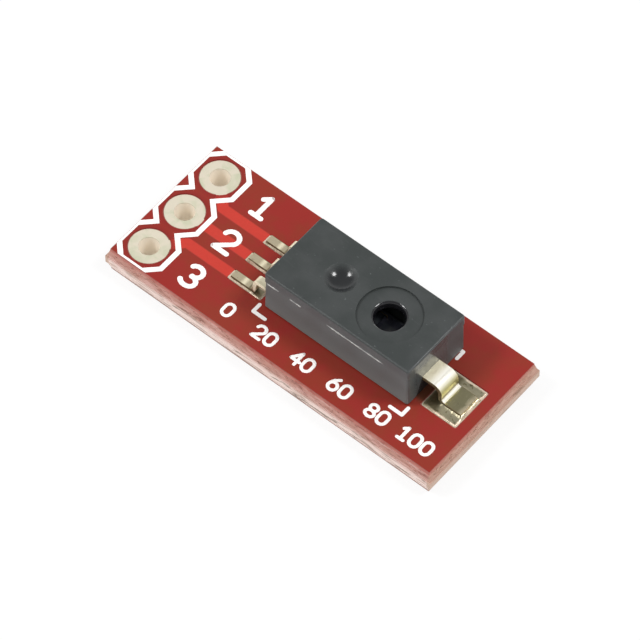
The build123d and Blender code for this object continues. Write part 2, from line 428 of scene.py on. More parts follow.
@dataclass(frozen=True)
class LaminateFinish:
    """Glass-fibre laminate: cream, with streaks of fibre along its broken edges.

    The spans are in millimetres: heights for the pale lower part and the painted shade along the foot,
    heights from the laminate's top for the red stain, and distances past the board's end for the end faces.
    """

    layout: Layout
    cream: Colour = (0.55, 0.38, 0.31)
    pale: Colour = (0.86, 0.69, 0.63)
    tan: Colour = (0.50, 0.345, 0.25)
    # Grey of the fibre streaks, also used for the painted shade along the foot.
    grey: Colour = (0.20, 0.16, 0.13)
    blush: Colour = (0.46, 0.125, 0.10)
    fibre_grain: Point3 = (0.8, 0.8, 5.5)
    bundle_grain: Point3 = (0.35, 0.35, 2.0)
    fleck_grain: Point3 = (3.0, 3.0, 22.0)
    end_face: Span = (-0.02, 0.02)
    pale_below: Span = (0.85, 1.25)
    soiled_foot: Span = (0.02, 0.18)
    stain_reach: Span = (-0.80, -0.30)
    stained_rim: Span = (-0.20, -0.03)
    relief_height: float = 0.05

    def build(self) -> bpy.types.Material:
        """Make the material.

        Returns:
            The finished material.
        """
        shader = Shader("glass_fibre_laminate")
        fibres = shader.cloud(1.0, self.fibre_grain, detail=4.0, twist=0.5)
        bundles = shader.cloud(1.0, self.bundle_grain, detail=2.0, twist=0.4)
        flecks = shader.cloud(1.0, self.fleck_grain, detail=2.0)
        from_top = shader.z - self.layout.laminate_top
        ends = (abs(shader.x) - self.layout.board_half_length).ramp(*self.end_face)
        light = shader.z.fade(*self.pale_below) * 0.45 + (fibres - 0.5) * 2.0 - 0.05
        streaks = (0.48 - fibres).ramp(0.0, 0.10) * bundles.ramp(0.38, 0.58)
        # Painted shade: grey along the bottom of the broken edges, where the lower wall faces down.
        foot = (shader.z + (bundles - 0.5) * 0.8).fade(*self.soiled_foot)
        stain = (from_top + (fibres - 0.5) * 0.6).ramp(*self.stain_reach) * 0.50
        stain = stain * (1 - ends * 0.4) + from_top.ramp(*self.stained_rim) * 0.36
        colour = shader.layers(
            self.cream,
            (light.ramp(-0.15, 0.55), self.pale),
            (ends * 0.75, self.tan),
            (streaks * (0.85 - ends * 0.5), self.grey),
            (foot * 0.6, self.grey),
            (stain, self.blush),
        )
        return shader.surface(
            Base_Color=colour,
            Roughness=0.62 + flecks * 0.2,
            Specular_IOR_Level=0.35,
            Normal=shader.bump(fibres * 0.7 + flecks * 0.3, self.relief_height, 0.7),
        )


@dataclass(frozen=True)
class TinnedFinish:
    """Hot-tinned copper on the pads, warmer and duller inside the plated holes, where the pale barrels are
    partly painted light.
    """

    layout: Layout
    tin: Colour = (0.80, 0.73, 0.59)
    stained: Colour = (0.64, 0.64, 0.47)
    # Pale barrel colour: partly its tin, partly painted light inside the holes.
    barrel: Colour = (1.00, 0.92, 0.80)
    barrel_wall: Span = (0.01, 0.08)
    barrel_top: Span = (1.5, 1.57)
    relief_height: float = 0.03

    def build(self) -> bpy.types.Material:
        """Make the material.

        Returns:
            The finished material.
        """
        shader = Shader("tinned_copper_pads")
        from_wall = self.layout.from_hole(shader) - self.layout.hole_radius
        inside = from_wall.fade(*self.barrel_wall) * shader.z.fade(*self.barrel_top)
        blotch = shader.cloud(1.3, detail=3.0, twist=0.5)
        grain = shader.cloud(14.0, detail=2.0)
        return shader.surface(
            Base_Color=shader.layers(
                self.tin, (blotch.ramp(0.40, 0.68), self.stained), (inside, self.barrel)
            ),
            Metallic=0.45 - inside * 0.45,
            Roughness=0.42 + blotch * 0.2 + inside * 0.1,
            Normal=shader.bump(blotch * 0.7 + grain * 0.1, self.relief_height, 0.5),
        )


@dataclass(frozen=True)
class InkFinish:
    """White screen-printed ink, a little thin in places."""

    white: Colour = (0.96, 0.93, 0.91)
    thin: Colour = (0.88, 0.74, 0.70)
    relief_height: float = 0.008

    def build(self) -> bpy.types.Material:
        """Make the material.

        Returns:
            The finished material.
        """
        shader = Shader("white_print")
        patches = shader.cloud(3.5, detail=3.0)
        return shader.surface(
            Base_Color=shader.tint(patches.ramp(0.62, 0.85), self.white, self.thin),
            Roughness=0.55 + patches * 0.15,
            Specular_IOR_Level=0.3,
            Normal=shader.bump(shader.cloud(9.0), self.relief_height, 0.5),
        )


@dataclass(frozen=True)
class HousingFinish:
    """Dark moulded plastic: fine satin grain, glossy in its round recess and vent, sides painted lighter,
    painted shade in the hollows and under the tab.

    The sizes are in millimetres. The recess's polish and the vent's wall and rim are given by
    radius. The top face, the vent's mouth and the top edge are heights from the housing's top, the
    shade's top is a height from the tab's top, and the low and high heights are from the board's
    underside. The rest are places from the housing's or the board's middle, or from a side.
    """

    vent: Point2
    recess: Point2
    top: float
    middle: Point2
    half: Point2
    tab_top: float
    dark: Colour = (0.034, 0.040, 0.039)
    worn: Colour = (0.054, 0.059, 0.059)
    # Painted light: the sides are painted lighter than the top, lightest at their foot and darker near the
    # top edge.
    side: Colour = (0.100, 0.110, 0.110)
    low_side: Colour = (0.180, 0.205, 0.200)
    high_side: Colour = (0.072, 0.078, 0.080)
    # Painted shade colour: in the recess, the vent and under the tab.
    deep: Colour = (0.012, 0.012, 0.014)
    scuff_grain: Point3 = (0.8, 5.0, 5.0)
    recess_polish: Span = (0.45, 0.84)
    vent_wall: Span = (0.81, 0.89)
    vent_rim_radius: float = 0.785
    vent_rim_half: float = 0.07
    vent_rim_fall: float = 700.0
    top_face: Span = (-0.03, -0.012)
    vent_mouth: Span = (-0.13, -0.105)
    top_edge: Span = (-0.14, -0.08)
    side_edge: Span = (-0.10, -0.04)
    tab_end: Span = (4.0, 4.1)
    mirror_reach: Span = (0.9, 1.4)
    shade_start: float = -0.62
    shade_lean: float = 0.45
    shade_border: Span = (-0.02, 0.06)
    shade_stop: Span = (0.62, 0.70)
    shade_top: Span = (-0.08, 0.0)
    low_heights: Span = (1.5, 2.9)
    high_heights: Span = (3.4, 4.0)
    relief_height: float = 0.012

    def distance_from(self, shader: Shader, centre: Point2) -> Signal:
        """The distance in plan from a centre, in millimetres."""
        return (shader.x - centre[0]).hypot(shader.y - centre[1])

    def build(self) -> bpy.types.Material:
        """Make the material.

        Returns:
            The finished material.
        """
        shader = Shader("dark_moulded_housing")
        from_top = shader.z - self.top
        from_vent = self.distance_from(shader, self.vent)
        polished = self.distance_from(shader, self.recess).fade(*self.recess_polish)
        polished = polished * from_top.fade(*self.top_face)
        gloss = polished.most(from_vent.fade(*self.vent_wall) * from_top.fade(*self.vent_mouth))
        rim = (from_vent - self.vent_rim_radius).most(-self.vent_rim_half).least(self.vent_rim_half)
        long_side = (abs(shader.y - self.middle[1]) - self.half[1]).ramp(*self.side_edge)
        long_side = long_side * from_top.fade(*self.top_edge)
        end_face = (abs(shader.x - self.middle[0]) - self.half[0]).ramp(*self.side_edge)
        by_tab = (shader.x - self.middle[0]).ramp(*self.tab_end) * end_face
        mirror = by_tab * abs(shader.y).fade(*self.mirror_reach)
        # Painted shadow of the tab on the end face below it.
        from_tab_top = shader.z - self.tab_top
        shade_edge = shader.y - self.shade_start - from_tab_top * self.shade_lean
        shade = by_tab * shade_edge.ramp(*self.shade_border) * shader.y.fade(*self.shade_stop)
        shade = shade * from_tab_top.fade(*self.shade_top)
        mottle = shader.cloud(0.55, detail=4.0)
        grain = shader.cloud(16.0, detail=2.0)
        scuffs = shader.cloud(1.0, self.scuff_grain, detail=3.0, twist=1.0).ramp(0.60, 0.75)
        specks = shader.cloud(6.0, detail=3.0).ramp(0.68, 0.76)
        # Painted light on the long sides, and at 0.45 on the end faces.
        side = shader.layers(
            self.side,
            (shader.z.fade(*self.low_heights), self.low_side),
            (shader.z.ramp(*self.high_heights), self.high_side),
        )
        colour = shader.layers(
            self.dark,
            (mottle.ramp(0.36, 0.66) * 0.7 + scuffs * 0.3, self.worn),
            # Pale specks of dust, in the colour of the painted light at the sides' foot.
            (specks * 0.5, self.low_side),
            (long_side.most(end_face * 0.45), side),
            # Painted shade: the tab's shadow on the end face, and the recess and the vent painted darker.
            (shade * 0.85, self.deep),
            (gloss - polished * 0.25, self.deep),
        )
        relief = (grain * 0.5 + mottle * 0.4) * (1 - gloss.most(mirror * 0.8))
        relief = relief - rim * rim * self.vent_rim_fall
        return shader.surface(
            Base_Color=colour,
            Roughness=0.46 + (grain - 0.5) * 0.15 - gloss.most(mirror * 0.75) * 0.36 + polished * 0.04,
            Specular_IOR_Level=0.5,
            Normal=shader.bump(relief, self.relief_height, 0.6),
        )


@dataclass(frozen=True)
class LeadMetalFinish:
    """Plated lead-frame metal: painted highlights on bends and lead sides, painted shade in creases, on the
    tab's sides and leg and inside the housing, dull on the tab's foot.

    The sizes are in millimetres. The tab's start and the leads' inner end, band and bend are places along the
    board. The tab's bar, toe, painted light on the shoulder and crown are places along it from its heel. The
    crease, the leg and what ends in top or heights are heights above the feet. The sides are half widths, and
    the sheared_edge span is the reach to both sides of them.
    """

    layout: Layout
    plate: Colour = (0.94, 0.82, 0.57)
    stain: Colour = (0.50, 0.43, 0.27)
    bright: Colour = (0.95, 0.88, 0.65)
    soldered: Colour = (0.38, 0.35, 0.21)
    burnished: Colour = (1.00, 0.97, 0.86)
    # Painted shade colour of creases, heel lines and dark sides.
    sheared: Colour = (0.16, 0.12, 0.06)
    coated: Colour = (0.035, 0.040, 0.048)
    leg_tone: Colour = (0.50, 0.47, 0.20)
    drawn_grain: Point3 = (1.5, 30.0, 1.5)
    cross_grain: Point3 = (26.0, 2.0, 10.0)
    foot_top: float = 1.81
    tab_heel_x: float = 7.66
    lead_side: float = 0.19
    tab_side: float = 0.605
    sheared_edge: Span = (-0.01, 0.01)
    tab_start: Span = (5.0, 6.0)
    inner_end: Span = (-2.2, -1.9)
    band_rise: Span = (-3.66, -3.46)
    band_fall: Span = (-3.44, -3.26)
    bend_rise: Span = (-3.16, -3.06)
    bend_fall: Span = (-2.86, -2.80)
    bend_top: Span = (0.30, 0.45)
    bar_rise: Span = (-0.06, -0.02)
    bar_fall: Span = (0.14, 0.18)
    bar_top: Span = (0.10, 0.14)
    toe_reach: Span = (0.80, 1.05)
    worn_reach: Span = (-0.95, -0.50)
    crown_start: float = -1.08
    crown_length: float = 0.58
    crown_fall: float = 13.0
    soldered_heights: Span = (0.02, 0.05)
    dark_edge_heights: Span = (0.0, 0.08)
    pale_edge_heights: Span = (0.05, 0.12)
    crease_rise: Span = (0.10, 0.14)
    crease_fall: Span = (0.24, 0.34)
    leg_rise: Span = (0.08, 0.14)
    leg_fall: Span = (0.66, 0.90)
    shoulder_heights: Span = (0.45, 0.70)
    relief_height: float = 0.03

    def build(self) -> bpy.types.Material:
        """Make the material.

        Returns:
            The finished material.
        """
        shader = Shader("plated_lead_frame")
        blotch = shader.cloud(1.8, detail=4.0, twist=0.8)
        lines = shader.cloud(1.0, self.drawn_grain, detail=2.0)
        across = shader.cloud(1.0, self.cross_grain, detail=2.0)
        above = shader.z - self.foot_top
        from_heel = shader.x - self.tab_heel_x
        on_tab = shader.x.ramp(*self.tab_start)
        on_lead = 1 - on_tab
        outside = on_tab.most(shader.x.fade(*self.inner_end))
        shoulder = above.ramp(*self.shoulder_heights) * outside
        # band is a painted highlight across each lead's foot, bend a painted shade line at its heel, and bar
        # a painted highlight at the tab's heel.
        band = on_lead * shader.x.window(self.band_rise, self.band_fall) * 0.75
        bend = on_lead * shader.x.window(self.bend_rise, self.bend_fall) * above.fade(*self.bend_top)
        bar = on_tab * from_heel.window(self.bar_rise, self.bar_fall) * above.fade(*self.bar_top)
        toe = on_tab * from_heel.ramp(*self.toe_reach) * blotch.ramp(0.38, 0.55)
        # worn is painted light on the tab's shoulder, brighter towards the bend.
        worn = on_tab * shoulder * from_heel.ramp(*self.worn_reach)
        # leg and crease are painted shade on the tab's leg and just above its heel bar.
        leg = on_tab * above.window(self.leg_rise, self.leg_fall) * (1 - blotch.ramp(0.6, 0.8) * 0.4)
        crease = on_tab * above.window(self.crease_rise, self.crease_fall)
        lead_side = (abs(self.layout.lane_offset(shader)) - self.lead_side).ramp(*self.sheared_edge) * on_lead
        tab_side = (abs(shader.y) - self.tab_side).ramp(*self.sheared_edge) * on_tab
        # dark is painted shade on the tab's sides and the leads' lower sides.
        dark = tab_side.most(lead_side * above.fade(*self.dark_edge_heights))
        # pale is painted highlights: the bands, the leads' upper sides and the tab's heel bar.
        pale = band.most(lead_side * above.ramp(*self.pale_edge_heights)).most(bar)
        colour = shader.layers(
            self.plate,
            (blotch.ramp(0.48, 0.75) * 0.9, self.stain),
            (on_tab * above.fade(*self.soldered_heights), self.soldered),
            # The cross streaks are grain; the shoulders take painted light.
            (across.ramp(0.62, 0.80) * 0.5 + shoulder * (1 - blotch.ramp(0.5, 0.7) * 0.45), self.bright),
            (worn, self.burnished),
            (leg * 0.9, self.leg_tone),
            (pale, self.bright),
            (bar, self.burnished),
            (crease.most(bend) * 0.75, self.sheared),
            (toe * 0.8, self.plate),
            (dark, self.sheared),
            # Painted shade on the lead frame inside the housing.
            (1 - outside, self.coated),
        )
        # Less metal where light or shade is painted, so that the painted colour shows.
        painted_light_less_metal = pale.most(dark) * 0.7 + (1 - dark) * (shoulder * (0.4 + on_tab * 0.1) + worn * 0.3)
        crown = (from_heel - self.crown_start).most(0.0).least(self.crown_length) * on_tab
        relief = blotch * 0.5 + lines * 0.2 + across * 0.2 - crown * crown * self.crown_fall
        return shader.surface(
            Base_Color=colour,
            Metallic=0.92 - painted_light_less_metal,
            Roughness=0.20 + blotch * 0.22 + pale * 0.1 + shoulder * on_tab * 0.10,
            Normal=shader.bump(relief, self.relief_height, 0.6),
        )


@dataclass(frozen=True)
class SolderFinish:
    """Reflowed, fluxed solder on a pad, with a pale rim of bare tin along the pad's border.

    The rim's span is in millimetres from the pad's border. Up to dull_to along the board, painted shade
    darkens the solder to the colour of its fluxed patches, and the default is short of every pad.
    """

    layout: Layout
    name: str
    middle_x: float
    half: Point2
    rim: Span
    body: Colour = (0.47, 0.43, 0.29)
    flux: Colour = (0.20, 0.17, 0.09)
    tin: Colour = (0.84, 0.68, 0.52)
    in_lanes: bool = True
    dull_to: float = -9.0
    dull_border: float = 0.3
    rim_waver: float = 0.09
    relief_height: float = 0.03

    def build(self) -> bpy.types.Material:
        """Make the material.

        Returns:
            The finished material.
        """
        shader = Shader(self.name)
        patches = shader.cloud(2.4, detail=3.0, twist=0.6)
        ripple = shader.cloud(5.0, detail=2.0)
        across = self.layout.lane_offset(shader) if self.in_lanes else shader.y
        inset = (self.half[0] - abs(shader.x - self.middle_x)).least(self.half[1] - abs(across))
        rim = (inset + (ripple - 0.5) * self.rim_waver).fade(*self.rim)
        rim = rim * (0.35 + patches.ramp(0.35, 0.60) * 0.65)
        # Painted shade on the solder under and beside the tab's heel, in the colour of the fluxed patches.
        dull = shader.x.fade(self.dull_to - self.dull_border, self.dull_to)
        colour = shader.layers(
            self.body,
            ((patches * 0.5 + ripple * 0.5).ramp(0.52, 0.64), self.flux),
            (rim, self.tin),
            (dull * (0.95 - patches * 0.4), self.flux),
        )
        return shader.surface(
            Base_Color=colour,
            Metallic=0.85 - rim * 0.6,
            Roughness=0.22 + patches * 0.25,
            Normal=shader.bump(ripple * 0.6 + patches * 0.4, self.relief_height, 0.6),
        )


@dataclass(frozen=True)
class PlainFinish:
    """A small part's finish: one colour with a soft second tone and a fine grain."""

    name: str
    colour: Colour
    second: Colour
    metallic: float = 0.0
    roughness: float = 0.4
    grain: float = 12.0
    tone_share: float = 0.2
    relief_height: float = 0.006

    def build(self) -> bpy.types.Material:
        """Make the material.

        Returns:
            The finished material.
        """
        shader = Shader(self.name)
        tone = shader.cloud(self.grain * self.tone_share, detail=3.0)
        return shader.surface(
            Base_Color=shader.tint(tone.ramp(0.35, 0.7), self.colour, self.second),
            Metallic=self.metallic,
            Roughness=self.roughness + tone * 0.15,
            Normal=shader.bump(shader.cloud(self.grain), self.relief_height, 0.5),
        )


class GeometryTree(NodeKit):
    """A Geometry Nodes tree with named inputs, used on one object and then applied."""

    def __init__(self, name: str, sizes: Sequence[str], counts: Sequence[str] = ()) -> None:
        """Start a tree.

        Args:
            name: The tree's name.
            sizes: The names of its number inputs.
            counts: The names of its whole-number inputs.
        """
        super().__init__(bpy.data.node_groups.new(name, "GeometryNodeTree"))
        kinds = {label: "NodeSocketFloat" for label in sizes}
        kinds.update({label: "NodeSocketInt" for label in counts})
        kinds["Material"] = "NodeSocketMaterial"
        face = self.tree.interface
        face.new_socket(name="Geometry", in_out="INPUT", socket_type="NodeSocketGeometry")
        self.identifiers = {
            label: face.new_socket(name=label, in_out="INPUT", socket_type=kind).identifier
            for label, kind in kinds.items()
        }
        face.new_socket(name="Geometry", in_out="OUTPUT", socket_type="NodeSocketGeometry")
        self.entry = self.node("NodeGroupInput")
        self.start = self.entry.outputs["Geometry"]

    def value(self, label: str) -> Signal:
        """A named input as a signal."""
        return Signal(self, self.entry.outputs[label])

    def finish(self, geometry: bpy.types.NodeSocket) -> None:
        """End in realised, smooth geometry with the tree's material.

        Args:
            geometry: The socket of the geometry to end in.
        """
        real = self.node("GeometryNodeRealizeInstances", None, {"Geometry": geometry})
        smooth = self.node("GeometryNodeSetShadeSmooth", None, {"Geometry": real.outputs[0]})
        dressed = self.node(
            "GeometryNodeSetMaterial",
            None,
            {"Geometry": smooth.outputs[0], "Material": self.entry.outputs["Material"]},
        )
        self.node("NodeGroupOutput", None, {"Geometry": dressed.outputs[0]})

    def make(self, base: bpy.types.Mesh, name: str, values: Mapping[str, Any]) -> bpy.types.Object:
        """Run the tree on a base mesh and keep the result as a plain mesh.

        Args:
            base: The mesh that the tree starts from.
            name: The new piece's name.
            values: A value for each named input.

        Returns:
            The finished piece, in the scene.
        """
        carrier = bpy.data.objects.new(f"{name}_base", base)
        bpy.context.scene.collection.objects.link(carrier)
        modifier = carrier.modifiers.new("build", "NODES")
        modifier.node_group = self.tree
        for label, value in values.items():
            modifier[self.identifiers[label]] = value
        bpy.context.view_layer.update()
        graph = bpy.context.evaluated_depsgraph_get()
        mesh = bpy.data.meshes.new_from_object(carrier.evaluated_get(graph))
        bpy.data.objects.remove(carrier)
        mesh.name = name
        piece = bpy.data.objects.new(name, mesh)
        bpy.context.scene.collection.objects.link(piece)
        return piece


def edge_mesh(name: str, lines: Iterable[Sequence[Sequence[float]]]) -> bpy.types.Mesh:
    """A mesh of edges only.

    Args:
        name: The mesh's name.
        lines: Lists of points, each joined in order.

    Returns:
        The mesh, in the lines' own units.
    """
    points: list[Sequence[float]] = []
    edges: list[tuple[int, int]] = []
    for line in lines:
        start = len(points)
        points.extend(line)
        edges.extend((start + i, start + i + 1) for i in range(len(line) - 1))
    mesh = bpy.data.meshes.new(name)
    mesh.from_pydata([tuple(p) for p in points], edges, [])
    return mesh


def add_mesh(
    name: str, points: Sequence[Sequence[float]], faces: Sequence[Sequence[int]]
) -> bpy.types.Object:
    """A smooth mesh object in the scene.

    Args:
        name: The object's name.
        points: Its points in metres.
        faces: Its faces as point numbers, outward by the right-hand rule.

    Returns:
        The new object.
    """
    mesh = bpy.data.meshes.new(name)
    mesh.from_pydata([tuple(p) for p in points], [], [list(f) for f in faces])
    mesh.polygons.foreach_set("use_smooth", [True] * len(mesh.polygons))
    mesh.update()
    piece = bpy.data.objects.new(name, mesh)
    bpy.context.scene.collection.objects.link(piece)
    return piece


def dress(piece: bpy.types.Object, material: bpy.types.Material) -> None:
    """Put a material on every slot of a piece, or on a first one.

    Args:
        piece: The piece to dress.
        material: Its finish.
    """
    if not piece.material_slots:
        piece.data.materials.append(material)
    for slot in piece.material_slots:
        slot.material = material


def in_mm(corners: Iterable[Vector]) -> tuple[Vector, ...]:
    """A box's corners in millimetres, from its corners in metres."""
    return tuple(corner / MM for corner in corners)


def arc_points(centre: Point2, rx: float, ry: float, start: float, end: float) -> list[Point2]:
    """Points along an elliptical arc.

    Args:
        centre: The ellipse's centre.
        rx: Its half width.
        ry: Its half height.
        start: The first angle in degrees.
        end: The last angle in degrees.

    Returns:
        The points, about every 20 degrees.
    """
    steps = max(2, round(abs(end - start) / 20))
    angles = [math.radians(start + (end - start) * i / steps) for i in range(steps + 1)]
    return [(centre[0] + rx * math.cos(a), centre[1] + ry * math.sin(a)) for a in angles]


class Numeral(Enum):
    """The numerals of the print, as pen strokes on a grid 4 wide and 6 high."""

    ZERO = "0"
    ONE = "1"
    TWO = "2"
    THREE = "3"
    FOUR = "4"
    SIX = "6"
    EIGHT = "8"

    def strokes(self) -> list[list[Point2]]:
        """The pen strokes.

        Returns:
            The points of each stroke, on the grid.
        """
        turn = arc_points
        shapes: dict[Numeral, list[list[Point2]]] = {
            Numeral.ZERO: [turn((2, 4), 2, 2, 0, 180) + turn((2, 2), 2, 2, 180, 360) + [(4, 4)]],
            Numeral.ONE: [[(0.7, 4.7), (2.2, 6)], [(2.2, 6), (2.2, 0)], [(0.7, 0), (3.7, 0)]],
            Numeral.TWO: [turn((2, 4.2), 2, 1.8, 170, -35) + [(0, 0)], [(0, 0), (4, 0)]],
            Numeral.THREE: [
                turn((1.9, 4.45), 1.8, 1.55, 150, -90),
                turn((1.9, 1.5), 2.0, 1.5, 90, -150),
            ],
            Numeral.FOUR: [[(3.0, 0), (3.0, 6)], [(3.0, 6), (0, 1.9)], [(0, 1.9), (4.2, 1.9)]],
            Numeral.SIX: [turn((2, 1.9), 1.95, 1.9, 150, -210) + [(1.2, 4.6), (3.0, 6)]],
            Numeral.EIGHT: [
                turn((2, 4.5), 1.7, 1.5, -90, 270),
                turn((2, 1.5), 2.0, 1.5, 90, 450),
            ],
        }
        return shapes[self]


@dataclass
class Print:
    """White pen-line print on the board: pin numbers and a plain scale of percent.

    A digit's width, height and pitch are in the units of the numerals' grid. The rest is in
    millimetres.
    """

    layout: Layout
    ink: bpy.types.Material
    pin_height: float = 1.2
    pin_line: float = 0.26
    pin_x: float = -5.6
    scale_values: Sequence[int] = range(0, 101, 20)
    scale_height: float = 0.70
    scale_line: float = 0.17
    scale_start: float = -3.12
    scale_end: float = 7.98
    scale_y: float = -3.25
    ink_height: float = 0.019
    digit_width: float = 4.0
    digit_height: float = 6.0
    digit_pitch: float = 5.6
    line_facets: int = 16
    end_detail: int = 3

    def __post_init__(self) -> None:
        """Build the tree that turns pen strokes into ink."""
        tree = GeometryTree("ink_strokes", ("Line Width", "Flatness", "Surface Height"))
        radius = tree.value("Line Width") * 0.5
        curve = tree.node("GeometryNodeMeshToCurve", None, {"Mesh": tree.start})
        nib = tree.node(
            "GeometryNodeCurvePrimitiveCircle", None, {"Resolution": self.line_facets, "Radius": radius}
        )
        ribbon = tree.node(
            "GeometryNodeCurveToMesh", None, {"Curve": curve.outputs[0], "Profile Curve": nib.outputs[0]}
        )
        dots = tree.node("GeometryNodeMeshToPoints", None, {"Mesh": tree.start})
        ball = tree.node(
            "GeometryNodeMeshIcoSphere", None, {"Radius": radius, "Subdivisions": self.end_detail}
        )
        ends = tree.node(
            "GeometryNodeInstanceOnPoints", None, {"Points": dots.outputs[0], "Instance": ball.outputs[0]}
        )
        both = tree.node("GeometryNodeJoinGeometry")
        tree.tree.links.new(ribbon.outputs[0], both.inputs[0])
        tree.tree.links.new(ends.outputs[0], both.inputs[0])
        real = tree.node("GeometryNodeRealizeInstances", None, {"Geometry": both.outputs[0]})
        squeeze = tree.node("ShaderNodeCombineXYZ", None, {"X": 1.0, "Y": 1.0, "Z": tree.value("Flatness")})
        lift = tree.node("ShaderNodeCombineXYZ", None, {"Z": tree.value("Surface Height")})
        flat = tree.node(
            "GeometryNodeTransform",
            None,
            {"Geometry": real.outputs[0], "Translation": lift.outputs[0], "Scale": squeeze.outputs[0]},
        )
        tree.finish(flat.outputs[0])
        self.tree = tree

    def line_of(self, text: str, x: float, y: float, height: float) -> list[list[Point3]]:
        """The strokes of a number.

        Args:
            text: Its digits.
            x: The middle of the number.
            y: Its foot.
            height: The digits' height.

        Returns:
            The strokes as points in metres, on the plane z = 0.
        """
        unit = height / self.digit_height
        pitch = self.digit_pitch * unit
        left = x - (pitch * (len(text) - 1) + self.digit_width * unit) / 2
        lines = []
        for index, digit in enumerate(text):
            start = left + index * pitch
            for stroke in Numeral(digit).strokes():
                lines.append([((start + u * unit) * MM, (y + v * unit) * MM, 0) for u, v in stroke])
        return lines

    def write(self, name: str, lines: list[Any], width: float) -> bpy.types.Object:
        """Turn strokes into a piece of ink on the board.

        Args:
            name: The piece's name.
            lines: The strokes.
            width: The pen's width in millimetres.

        Returns:
            The finished piece.
        """
        piece = self.tree.make(
            edge_mesh(name, lines),
            name,
            {
                "Line Width": width * MM,
                "Flatness": self.ink_height / (width / 2),
                "Surface Height": self.layout.board_top * MM,
                "Material": self.ink,
            },
        )
        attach(piece, "root")
        log.info("piece %s", name)
        return piece

    def build(self) -> None:
        """Print the pin numbers and the scale."""
        for index, (_, y) in enumerate(self.layout.hole_places()):
            lines = self.line_of(str(index + 1), self.pin_x, y - self.pin_height / 2, self.pin_height)
            self.write(f"pin_number_{index + 1}", lines, self.pin_line)
        lines = []
        for index, value in enumerate(self.scale_values):
            share = index / (len(self.scale_values) - 1)
            x = self.scale_start + (self.scale_end - self.scale_start) * share
            lines += self.line_of(str(value), x, self.scale_y, self.scale_height)
        self.write("percent_scale", lines, self.scale_line)


@dataclass
class SolderJoint:
    """One joint's solder: a thin film on the pad that climbs the foot's sides in a meniscus.

    The pad is given as its lowest and highest x, then y, and the sizes are in millimetres. Swell
    and ripple are the slow and the fine unevenness of the film, with their waves to the millimetre.
    """

    node: str
    foot_x: Span
    foot_half_width: float
    pad: tuple[float, float, float, float]
    seed: float
    film: float = 0.022
    climb: float = 0.115
    reach: float = 0.075
    thinnest: float = 0.004
    border: float = 0.09
    corner: float = 0.11
    underside: float = 0.0005
    swell_waves: float = 1.9
    ripple_waves: float = 5.5
    ripple_seed: float = 7.0
    swell_of_climb: float = 0.45
    swell_of_film: float = 0.6
    swell_of_reach: float = 0.5
    ripple_of_film: float = 0.25
    columns: int = 72
    fewest_rows: int = 16

    def height(self, x: float, y: float) -> float:
        """The solder's height over the copper at a place.

        Args:
            x: The place along the board.
            y: The place across it, from the pad's middle.

        Returns:
            The height in millimetres.
        """
        x0, x1, y0, y1 = self.pad
        inset = min(x - x0, x1 - x, y - y0, y1 - y)
        out_x = max(self.foot_x[0] - x, x - self.foot_x[1], 0.0)
        out_y = max(abs(y) - self.foot_half_width, 0.0)
        swell = noise.noise(Vector((x * self.swell_waves, y * self.swell_waves, self.seed)))
        ripple_place = (x * self.ripple_waves, y * self.ripple_waves, self.seed + self.ripple_seed)
        ripple = noise.noise(Vector(ripple_place))
        body = self.film * (1 + self.swell_of_film * swell + self.ripple_of_film * ripple)
        reach = self.reach * (1 + self.swell_of_reach * swell)
        body += self.climb * (1 + self.swell_of_climb * swell) * math.exp(-math.hypot(out_x, out_y) / reach)
        return max(self.thinnest, body * min(1.0, max(inset, 0.0) / self.border) ** 0.5)

    def top_points(self, layout: Layout, centre_y: float, rows: int) -> list[Point3]:
        """The upper surface, as rows of points over the pad with its rounded corners.

        Args:
            layout: The board's sizes.
            centre_y: The middle of the pad across the board.
            rows: How many cells the surface has across the pad.

        Returns:
            The points in metres.
        """
        x0, x1, y0, y1 = self.pad
        middle_x, middle_y = (x0 + x1) / 2, (y0 + y1) / 2
        half_x, half_y = (x1 - x0) / 2, (y1 - y0) / 2
        points = []
        for j in range(rows + 1):
            for i in range(self.columns + 1):
                u, v = 2 * i / self.columns - 1, 2 * j / rows - 1
                x, y = middle_x + u * half_x, middle_y + v * half_y
                dx = max(0.0, abs(x - middle_x) - (half_x - self.corner))
                dy = max(0.0, abs(y - middle_y) - (half_y - self.corner))
                over = math.hypot(dx, dy)
                if over > self.corner:
                    pull = self.corner / over
                    x -= math.copysign(dx * (1 - pull), u)
                    y -= math.copysign(dy * (1 - pull), v)
                z = layout.copper_top + self.height(x, y)
                points.append((x * MM, (y + centre_y) * MM, z * MM))
        return points

    def shell_faces(self, rows: int) -> list[tuple[int, ...]]:
        """The faces of the closed shell: upper surface, underside and the border between them.

        Args:
            rows: How many cells the surface has across the pad.

        Returns:
            The faces as point numbers, with the underside's points after the top's.
        """
        columns, width = self.columns, self.columns + 1
        count = width * (rows + 1)
        faces: list[tuple[int, ...]] = []
        for j in range(rows):
            for i in range(columns):
                a = j * width + i
                faces.append((a, a + 1, a + width + 1, a + width))
                faces.append((count + a, count + a + width, count + a + width + 1, count + a + 1))
        border = list(range(columns)) + [j * width + columns for j in range(rows)]
        border += [rows * width + i for i in range(columns, 0, -1)]
        border += [j * width for j in range(rows, 0, -1)]
        for a, b in zip(border, border[1:] + border[:1]):
            faces.append((a, count + a, count + b, b))
        return faces

    def build(self, layout: Layout, material: bpy.types.Material, centre_y: float) -> bpy.types.Object:
        """Make the joint and let it stand for its node.

        Args:
            layout: The board's sizes.
            material: The solder's finish.
            centre_y: The middle of the pad across the board.

        Returns:
            The finished piece.
        """
        x0, x1, y0, y1 = self.pad
        rows = max(self.fewest_rows, round(self.columns * (y1 - y0) / (x1 - x0)))
        top = self.top_points(layout, centre_y, rows)
        bottom = [(x, y, (layout.copper_top + self.underside) * MM) for x, y, _ in top]
        piece = add_mesh(f"{self.node}_shape", top + bottom, self.shell_faces(rows))
        dress(piece, material)
        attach(piece, "root")
        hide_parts(self.node)
        log.info("piece %s", self.node)
        return piece


